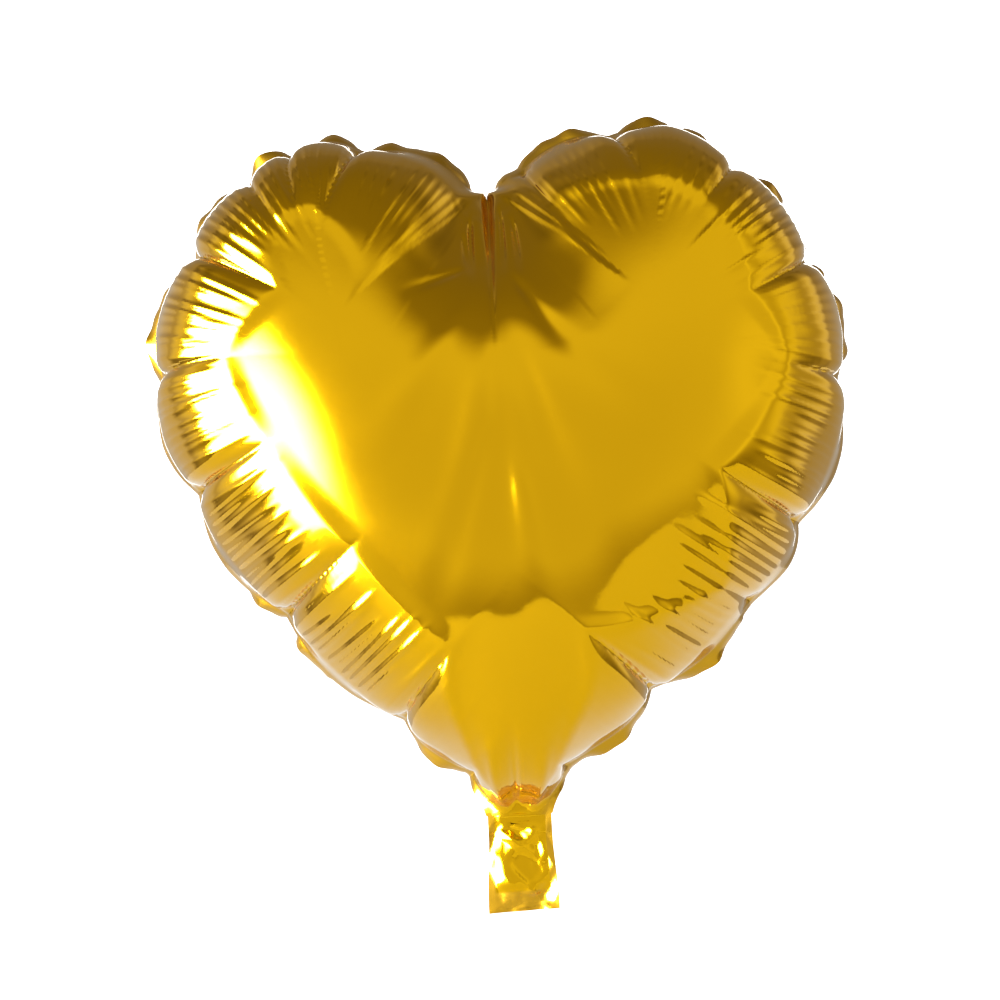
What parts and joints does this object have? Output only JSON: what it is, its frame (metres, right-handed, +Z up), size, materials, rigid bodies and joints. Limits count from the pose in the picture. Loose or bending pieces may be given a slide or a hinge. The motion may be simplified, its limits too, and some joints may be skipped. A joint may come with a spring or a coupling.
{
  "type": "heart-shaped foil balloon",
  "caption": "Heart-shaped foil balloon, inflated: two metallised films welded round their edge, a flat tail that folds at the neck, and a self-closing valve inside the neck.",
  "frame": {"origin": "middle of the neck at its narrowest, where a ribbon is tied and the tail folds", "axes": "+Z up from the neck to the lobes, +X across the heart's width, -Y towards whoever faces the front film, which holds the filling slit"},
  "size_m": [0.387, 0.1618, 0.4399],
  "materials": {
    "foil_gold": "mirror-bright gold metallised film",
    "valve_film": "clear thin polyethylene film"
  },
  "bodies": {
    "heart": {"front_panel": "foil_gold", "rear_panel": "foil_gold"},
    "tail": {"tail_front_film": "foil_gold", "tail_rear_film": "foil_gold"},
    "valve_front_lip": {"valve_front_film": "valve_film"},
    "valve_rear_lip": {"valve_rear_film": "valve_film"}
  },
  "joints": [
    {"name": "tail_fold", "type": "hinge", "parent": "heart", "child": "tail", "pos_m": [0, 0, 0], "axis": [1, 0, 0], "range_deg": [-120, 120]},
    {"name": "valve_front_open", "type": "hinge", "parent": "heart", "child": "valve_front_lip", "pos_m": [0, -0.0003, 0.0096], "axis": [1, 0, 0], "range_deg": [0, 5], "stiffness_Nm_per_rad": 0.0002},
    {"name": "valve_rear_open", "type": "hinge", "parent": "heart", "child": "valve_rear_lip", "pos_m": [0, 0.0003, 0.0096], "axis": [1, 0, 0], "range_deg": [-5, 0], "stiffness_Nm_per_rad": 0.0002}
  ],
  "couplings": [
    {"joint": "valve_rear_open", "follows": "valve_front_open", "ratio": -1}
  ]
}
